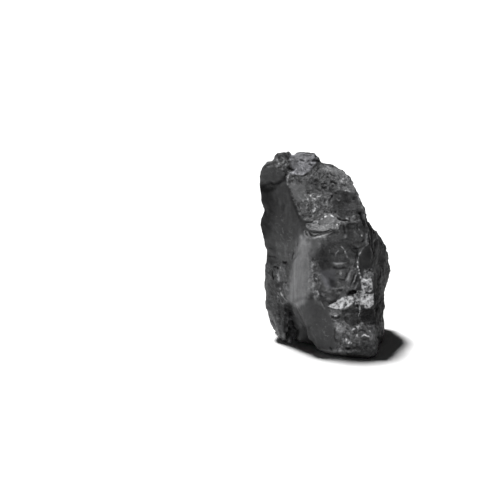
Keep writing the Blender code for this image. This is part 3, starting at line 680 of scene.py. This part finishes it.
# Dents, and small lumps where the depth is negative: u, v, half-width, half-height, depth, tone.
DABS = [
    # Hollows and knobs of the head.
    (-49, 186, 2, 2, 0.6, -1.2),
    (-46.5, 183, 3, 1.4, 0.4, -0.8),
    (-47.5, 183.5, 3, 2.6, 0.3, -1.1),
    (-41.5, 180, 3, 3, -0.2, 0.8),
    (-42.5, 178.5, 2.6, 2.6, -0.3, 1),
    (-47, 177.5, 2, 1.8, -0.3, 1.4),
    (-45, 174, 2, 2, 0.6, -1.3),
    (-47.5, 173.5, 3, 2.2, 0.2, -0.9),
    (-39.5, 166.5, 2.2, 1.6, 0.6, -1.5),
    (-33.5, 170.5, 2.2, 1.6, 0.8, -1.5),
    (-28.5, 168, 1.6, 1.8, 0.2, -1),
    (-22.5, 174, 4.5, 4.5, -0.2, 0.7),
    (-14, 176, 1.8, 1.6, 0.6, -1.6),
    (-10, 185, 2, 2.4, 0.8, -2.2),
    # Pits and crumbs of the slope above the brow.
    (2, 167, 1.6, 1.6, 0.6, -1.4),
    (1.5, 164.5, 1.4, 1.4, 0.5, -1.3),
    (12, 167, 2.2, 1.6, -0.3, 0.7),
    (17, 162, 2.4, 1.6, -0.3, 0.9),
    (-15, 165.5, 1.6, 1.8, -0.3, 1.2),
    (-10, 156.4, 2, 1.4, 0.7, -1.6),
    (7, 155, 2, 2, 0.8, -1.4),
    (14, 155, 5, 4.5, -0.1, 0.6),
    (12.5, 153.5, 3, 2.4, -0.2, 0.8),
    (14, 145, 1.8, 1.8, -0.3, 0.9),
    (22.5, 143.5, 3, 3, -0.1, 0.8),
    (28, 143, 2.4, 3, 0.6, -0.8),
    (3.5, 140, 2.6, 4, 0.3, -1.2),
    (4.5, 131, 4, 3.6, 0.4, -1.1),
    (10, 129, 1.8, 1.8, 0.7, -1.5),
    (34, 128, 2.4, 2.4, 0.8, -1.5),
    (33, 129, 3, 3, 0, 0.6),
    # Pale grains of the speckled slope, and dark ones between them.
    (-15, 149.5, 1.5, 1.5, -0.3, 1.6),
    (-15, 146, 1.5, 1.5, -0.3, 1.8),
    (-21, 146, 1.4, 2.4, -0.3, 1.1),
    (-11, 142, 1.6, 1.8, -0.3, 1.4),
    (-23, 140, 1.4, 2.2, -0.3, 1.3),
    (-1, 140, 1.8, 2.2, 0.6, -1),
    (-4, 137, 2, 1.6, -0.3, 0.9),
    (-11, 132.5, 1.7, 1.7, -0.3, 2.3),
    (-6.5, 132, 1.8, 1.6, 0.5, -1.1),
    (-8, 125.5, 1.3, 1.8, -0.2, 1.3),
    (-1, 126, 1.2, 2.6, -0.2, 1),
    (-13, 125, 1.6, 1.4, -0.2, 0.9),
    # The brow and its lip.
    (-8.5, 119, 1.6, 2.4, -0.3, 1.6),
    (-18, 115, 3, 3.5, -0.1, 0.7),
    (-17.5, 116, 1.8, 1.4, 0.4, -1),
    (-14, 116.5, 1.6, 1.4, -0.2, 0.8),
    (13, 118.5, 1.3, 1.2, -0.2, 1.2),
    (11, 116, 1.4, 1.3, -0.2, 1.4),
    (12.5, 113, 1.3, 1.6, -0.2, 1.3),
    (12, 112.5, 1.8, 1.4, -0.2, 1),
    (7, 112, 1.8, 1.4, -0.2, 1),
    (3, 108.8, 3.5, 1.5, -0.3, 1.3),
    # The pocket, its knuckle and its banks.
    (22, 108, 3, 4, 1, -0.6),
    (29, 107, 4, 5, -1.2, 0.2),
    (31, 106, 5, 4.5, -0.3, 0.7),
    (23, 104, 4, 5, 0.2, -0.8),
    (38, 101, 1.6, 1.6, 0.6, -1.6),
    (30, 98, 4, 4, 0.1, -0.6),
    (31.5, 90, 2.4, 2.6, 0.3, -0.3),
    (21, 81, 5, 5, 0.1, -0.6),
    (32, 79, 1.6, 1.8, -0.3, 0.9),
    (28, 75, 1.4, 1.8, 0.4, -1),
    (33, 73, 2.6, 3, -0.2, 0.7),
    (29.5, 72, 1.5, 2, -0.3, 1.1),
    (30.5, 65, 1.4, 1.8, -0.3, 0.9),
    (13, 48, 4, 2.6, -0.3, 0.8),
    (17.5, 43.5, 3.5, 2, 0.1, -0.7),
    # The pilaster's broken side.
    (-13, 76.5, 1.8, 1.6, -0.4, 1.2),
    (-9, 75, 1.4, 1.4, 0.4, -1.2),
    (-10.5, 68, 2.4, 2, -0.4, 0.9),
    (-12, 57, 3, 3.5, -0.6, 0.4),
    (-11, 49, 3, 2.4, -0.4, 0.9),
    # The crystals, and the edge to the right of them.
    (28.5, 59.5, 1.8, 1.8, -0.4, 1.2),
    (42.5, 58.5, 3, 2.4, 0.3, -0.8),
    (36.5, 55.5, 2.4, 1.8, -0.4, 0.8),
    (40, 42, 3.4, 5, -0.3, 0.5),
    (47.5, 69, 2, 5, -0.2, 0.9),
    (47.5, 108.5, 3, 4.5, 0.2, -0.9),
    # Rubble and dents of the broken foot.
    (30.5, 33.5, 1.4, 1.4, -0.2, 1.6),
    (28, 29, 2, 3, 0.6, -0.9),
    (22.5, 27, 3, 2.5, -0.5, 1),
    (25, 25, 6.5, 7, -1.4, -0.3),
    (19, 23, 2.4, 2, 0.6, -0.8),
    (28, 16, 3, 3, 0.8, -0.4),
    (14, 15, 4, 6, -0.8, 0.3),
    (30, 11, 4, 4, 0.2, -1.3),
    (29.5, 8, 1.8, 2.6, 0.6, -1.2),
    (47, 8, 3, 3, 0.2, -0.5),
    (22, -5.5, 3.5, 2.5, -0.3, 0.8),
    # Painted shade: darker towards the bottom of the broken foot.
    (46, -5, 4, 4, 0, -0.7),
    (32, -12, 6, 4, 0, -0.8),
    # The left face, the left foot and the crevice.
    (-42, 112, 6, 9, 0, -0.3),
    (-52, 60, 3, 8, 0.4, -0.3),
    (-47.5, 43.5, 2.6, 3.4, -0.3, 0.9),
    (-42, 15, 3.4, 9, 0, -0.6),
    (-42.5, 4, 2.6, 6, -0.2, 1.3),
    (-23, 14, 1.3, 1.3, 0.3, -1.2),
]

# Pulls at the outline: u, v, reach, and how far to the right and up.
GRABS = [
    (-55, 183, 6, 0.5, -2.5),
    (-36, 186, 4, 0, 1.5),
    (-43, 190, 6, 0, -1.4),
    (-15, 190, 9, 0, -1.8),
    (-65.5, 131, 10, 3.6, 0),
    (43, 121, 9, -2.6, 0),
    (54, 104, 8, -1.5, 0),
    (-21, 4, 11, -6, -3.5),
]

# Rings of shell-like breaks: centre, spacing, height, region.
RIPPLES = [
    ((-46, 142), 9, 0.12, "left_face"),
    ((10, 40), 7, 0.25, "pocket"),
]


def sculpt(clay):
    """Works the fine surface from broad to fine, painting as it goes."""
    # Away from the front, broad calm faces alternate with broken ones.
    calm = ease(0.5 + 1.6 * noise_at(clay.points, size=55, seed=7))
    broken = clay.paint["broken"]
    broken += USUAL_BROKEN * (1 - 0.75 * calm)
    clay.paint["tone"] += USUAL_TONE + 0.35 * noise_at(clay.points, size=40, seed=8, octaves=2)
    clay.paint["fleck"] += 0.5 * ease(noise_at(clay.points, size=30, seed=9) * 2) * (1 - calm)
    ragged = noise_at(clay.points, size=5, seed=3, octaves=2)
    area = {}
    for name, (soft, tone, paint, *outline) in REGIONS.items():
        area[name] = clay.patch(outline, soft, ragged)
        clay.paint["tone"] += tone * area[name]
        for layer, amount in paint.items():
            clay.paint[layer] += (amount - clay.paint[layer]) * area[name]

    clay.ease_facets(FACET_EASING, where=np.ones(len(clay.points)))
    clay.ease_facets(CALM_EASING, where=np.clip(1 - 2.5 * broken, 0, 1))
    clay.settle()
    for grab in GRABS:
        clay.grab(*grab)
    clay.settle()
    clay.roughen(height=0.8, size=9, seed=1, where=broken)
    clay.shatter(spacing=9.0, step=0.7, tilt=0.15, seed=SEED, where=broken)
    clay.chisel(strokes=900, radius=6.0, tilt=0.35, bite=1.0, seed=SEED, where=broken)
    for centre, spacing, height, name in RIPPLES:
        clay.ripple(centre, spacing, height, area[name])
    clay.settle()
    unseen = ease(-0.15 - clay.towards * 3)
    clay.crackle(count=110, seed=SEED + 5, where=unseen)
    for width, depth, tone, *path in LINES:
        clay.carve(clay.trace(path), width, depth, tone)
    for dab in DABS:
        clay.dab(*dab)
    clay.shatter(spacing=3.6, step=0.28, tilt=0.12, seed=SEED + 1, where=broken)
    clay.roughen(height=0.35, size=3.2, seed=2, where=broken)
    clay.chisel(strokes=3000, radius=3.2, tilt=0.35, bite=0.45, seed=SEED + 1, where=broken)
    clay.points[:, 2] = np.maximum(clay.points[:, 2], 0)
    clay.settle()
    # Paler proud edges, as wear, and painted shade in the hollows.
    clay.wear_and_shade(reach=1.6, strength=0.3)
    clay.wear_and_shade(reach=5.0, strength=0.25)


def refine_front(mesh):
    """Halves the mesh size where the stone faces the camera."""
    fine = bmesh.new()
    fine.from_mesh(mesh)
    fine.normal_update()
    edges = set()
    for face in fine.faces:
        if face.normal.dot((CAMERA_PLACE - face.calc_center_median()).normalized()) > FRONT_LIMIT:
            edges.update(face.edges)
    edges = sorted(edges, key=lambda edge: edge.index)
    bmesh.ops.subdivide_edges(fine, edges=edges, cuts=1, use_grid_fill=True)
    fine.to_mesh(mesh)
    fine.free()


def dressed_stone():
    """The fine surface of the stone, in place of its faceted solid."""
    solid = bpy.data.objects["rock"]
    stone = placed("stone", solid.data.copy())
    remesh = stone.modifiers.new("Remesh", "REMESH")
    remesh.mode = "VOXEL"
    remesh.voxel_size = VOXEL
    graph = bpy.context.evaluated_depsgraph_get()
    mesh = bpy.data.meshes.new_from_object(stone.evaluated_get(graph))
    stone.modifiers.clear()
    stone.data = mesh
    refine_front(mesh)
    clay = Clay(mesh)
    sculpt(clay)
    clay.finish()
    mesh.shade_smooth()
    mesh.materials.clear()
    mesh.materials.append(stone_material())
    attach(stone, "root")
    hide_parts("rock")
    return stone


class Nodes:
    """Short words for building one material's nodes."""

    def __init__(self, material):
        self.tree = material.node_tree

    def add(self, kind, inputs=(), output=0, **settings):
        """A node of this kind with its inputs linked or set, by name or order. Returns one output."""
        made = self.tree.nodes.new("ShaderNode" + kind)
        for name, value in settings.items():
            setattr(made, name, value)
        pairs = inputs.items() if isinstance(inputs, dict) else enumerate(inputs)
        for name, value in pairs:
            if isinstance(value, bpy.types.NodeSocket):
                self.tree.links.new(value, made.inputs[name])
            else:
                made.inputs[name].default_value = value
        return made.outputs[output]

    def math(self, operation, *values, clamp=False):
        return self.add("Math", values, operation=operation, use_clamp=clamp)

    def times(self, *values):
        return reduce(lambda one, other: self.math("MULTIPLY", one, other), values)

    def plus(self, *values):
        return reduce(lambda one, other: self.math("ADD", one, other), values)

    def level(self, value, gain, base, clamp=False):
        """A value times a gain, plus a base."""
        return self.math("MULTIPLY_ADD", value, gain, base, clamp=clamp)

    def painted(self, name):
        """A painted attribute's value."""
        return self.add("Attribute", output="Fac", attribute_name=name)

    def grain(self, place, size_mm, detail=3.0, roughness=0.6):
        """Noise about 0, roughly -1 to 1, of this size in millimetres."""
        wave = self.add(
            "TexNoise", {"Vector": place, "Scale": 1000 / size_mm, "Detail": detail, "Roughness": roughness}
        )
        return self.level(wave, 4.0, -2.0)

    def crumbs(self, place, size_mm):
        """A level about 0 for each crumb of this size in millimetres."""
        cell = self.add("TexVoronoi", {"Vector": place, "Scale": 1000 / size_mm}, "Color")
        return self.level(self.add("SeparateColor", (cell,)), 1.1, -0.55)

    def cell_edge(self, place, size_mm):
        """How far from the edge between cells of this size in millimetres, in sizes."""
        return self.add(
            "TexVoronoi", {"Vector": place, "Scale": 1000 / size_mm}, "Distance", feature="DISTANCE_TO_EDGE"
        )


def stone_material():
    """Black stone: painted tone in stops, broken grain, flecks with painted glints, and crystal on the broken
    edges.
    """
    material = bpy.data.materials.new("black_stone")
    material.use_nodes = True
    n = Nodes(material)
    shader = material.node_tree.nodes["Principled BSDF"]
    place = n.add("TexCoord", output="Object")
    upright = n.add("Mapping", {"Vector": place, "Scale": (1.0, 1.0, 0.12)})
    tone, broken, crystal, streak, fleck, cool = (n.painted(name) for name in PAINTS)

    # Paleness in stops: what is painted, clouds, mottling, crumbs and fine cracks where the stone is
    # broken, and upright streaks.
    clouds = n.times(n.grain(place, 15.0, 2.0), 0.2)
    mottle = n.times(n.grain(place, 4.0, 4.0, 0.75), broken, 0.9)
    lines = n.times(n.grain(upright, 2.4, 3.0), streak, 0.4)
    faint = n.times(n.grain(place, 2.0, 3.0), 0.12)
    warp = n.add("TexNoise", {"Vector": place, "Scale": 300.0, "Detail": 2.0}, "Color")
    warped = n.add("VectorMath", (warp, (0.003, 0.003, 0.003), place), operation="MULTIPLY_ADD")
    crumbs = n.times(n.plus(n.crumbs(warped, 3.6), n.crumbs(warped, 1.9)), broken)
    crack = n.level(n.cell_edge(warped, 6.5), -9.0, 1.0, clamp=True)
    cracked = n.level(n.grain(place, 9.0, 1.0), 2.5, 0.2, clamp=True)
    cracks = n.times(crack, cracked, broken, -1.4)
    stops = n.plus(tone, clouds, mottle, faint, lines, crumbs, cracks)
    paleness = n.times(n.math("POWER", 2.0, stops), STONE_ALBEDO)

    # Flecks: glints painted into the colour, in patches, and a web of thin pale lines. Crystal: sugary
    # grains.
    spots = n.level(n.grain(place, 2.5, 3.0), 3.0, -1.9, clamp=True)
    web = n.level(n.math("ABSOLUTE", n.grain(place, 7.0, 2.5)), -7.0, 1.0, clamp=True)
    patchy = n.level(n.grain(place, 6.0, 1.0), 2.0, 0.1, clamp=True)
    glints = n.times(n.level(n.times(web, patchy), 0.6, spots), fleck)
    sugar = n.level(n.grain(place, 4.2, 3.5, 0.7), 1.25, 0.55, clamp=True)
    bright = n.math("MAXIMUM", n.times(glints, 0.22), n.times(crystal, sugar, 0.66))
    albedo = n.math("MINIMUM", n.plus(paleness, bright), 0.75)
    tint = n.add("Mix", {0: cool, 4: STONE_TINT, 5: STONE_BLUISH}, 1, data_type="VECTOR")
    colour = n.add("VectorMath", {0: tint, "Scale": albedo}, operation="SCALE")

    # Sheen, and a relief finer than the mesh.
    rough = n.plus(n.level(broken, 0.12, 0.42), n.times(n.grain(place, 5.0), 0.05))
    gloss = n.level(tone, SPECULAR_PER_STOP, SPECULAR, clamp=True)
    grit = n.times(n.grain(place, 1.8, 5.0, 0.7), n.level(broken, 0.8, 0.12))
    relief = n.plus(grit, n.times(n.grain(upright, 1.6), streak, 0.25))
    bump = n.add("Bump", {"Strength": 0.7, "Distance": 0.0004, "Height": relief})
    surface = {"Base Color": colour, "Roughness": rough, "Specular IOR Level": gloss, "Normal": bump}
    for name, socket in surface.items():
        n.tree.links.new(socket, shader.inputs[name])
    return material


def soft_light(name, power, spread, lean, side):
    """A distant soft light, leaning this far from overhead to the front and to the right."""
    light = bpy.data.lights.new(name, "SUN")
    light.energy = power
    light.angle = math.radians(spread)
    lamp = placed(name, light)
    lamp.rotation_euler = (math.radians(lean), math.radians(side), 0)
    return lamp


def set_inputs(node, **values):
    """Sets a node's inputs, named with _ for a space."""
    for name, value in values.items():
        node.inputs[name.replace("_", " ")].default_value = value


def studio(stone):
    """A white floor, the softbox, the stone's own fills, and dim white surroundings."""
    floor_mesh = bpy.data.meshes.new("floor")
    corners = [(x * FLOOR_REACH, y * FLOOR_REACH, 0) for x, y in ((-1, -1), (1, -1), (1, 1), (-1, 1))]
    floor_mesh.from_pydata(corners, [], [(0, 1, 2, 3)])
    white = bpy.data.materials.new("white_floor")
    white.use_nodes = True
    shader = white.node_tree.nodes["Principled BSDF"]
    set_inputs(shader, Base_Color=FLOOR_COLOUR, Roughness=1.0, Specular_IOR_Level=0.0)
    floor_mesh.materials.append(white)
    placed("floor", floor_mesh)

    sky = bpy.data.worlds.new("surroundings")
    sky.use_nodes = True
    set_inputs(sky.node_tree.nodes["Background"], Color=(1, 1, 1, 1), Strength=SKY_STRENGTH)
    bpy.context.scene.world = sky

    soft_light("softbox", SOFTBOX_POWER, SOFTBOX_SPREAD, SOFTBOX_LEAN, SOFTBOX_SIDE)
    lit = bpy.data.collections.new("lit_by_fills")
    lit.objects.link(stone)
    for name, (power, lean) in FILLS.items():
        soft_light(name, power, FILL_SPREAD, lean, 0).light_linking.receiver_collection = lit


def camera():
    """The camera, straight in front and a little above."""
    lens = bpy.data.cameras.new("camera")
    lens.lens = CAMERA_LENS_MM
    lens.sensor_width = CAMERA_SENSOR_MM
    lens.clip_end = 100
    eye = placed("camera", lens)
    eye.location = CAMERA_PLACE
    eye.rotation_euler = (math.pi / 2 - CAMERA_ELEVATION, 0, 0)
    bpy.context.scene.camera = eye


def main():
    noise.seed_set(WARP_SEED)
    bpy.context.scene.view_settings.view_transform = "Standard"
    camera()
    studio(dressed_stone())
    bpy.context.view_layer.update()


main()
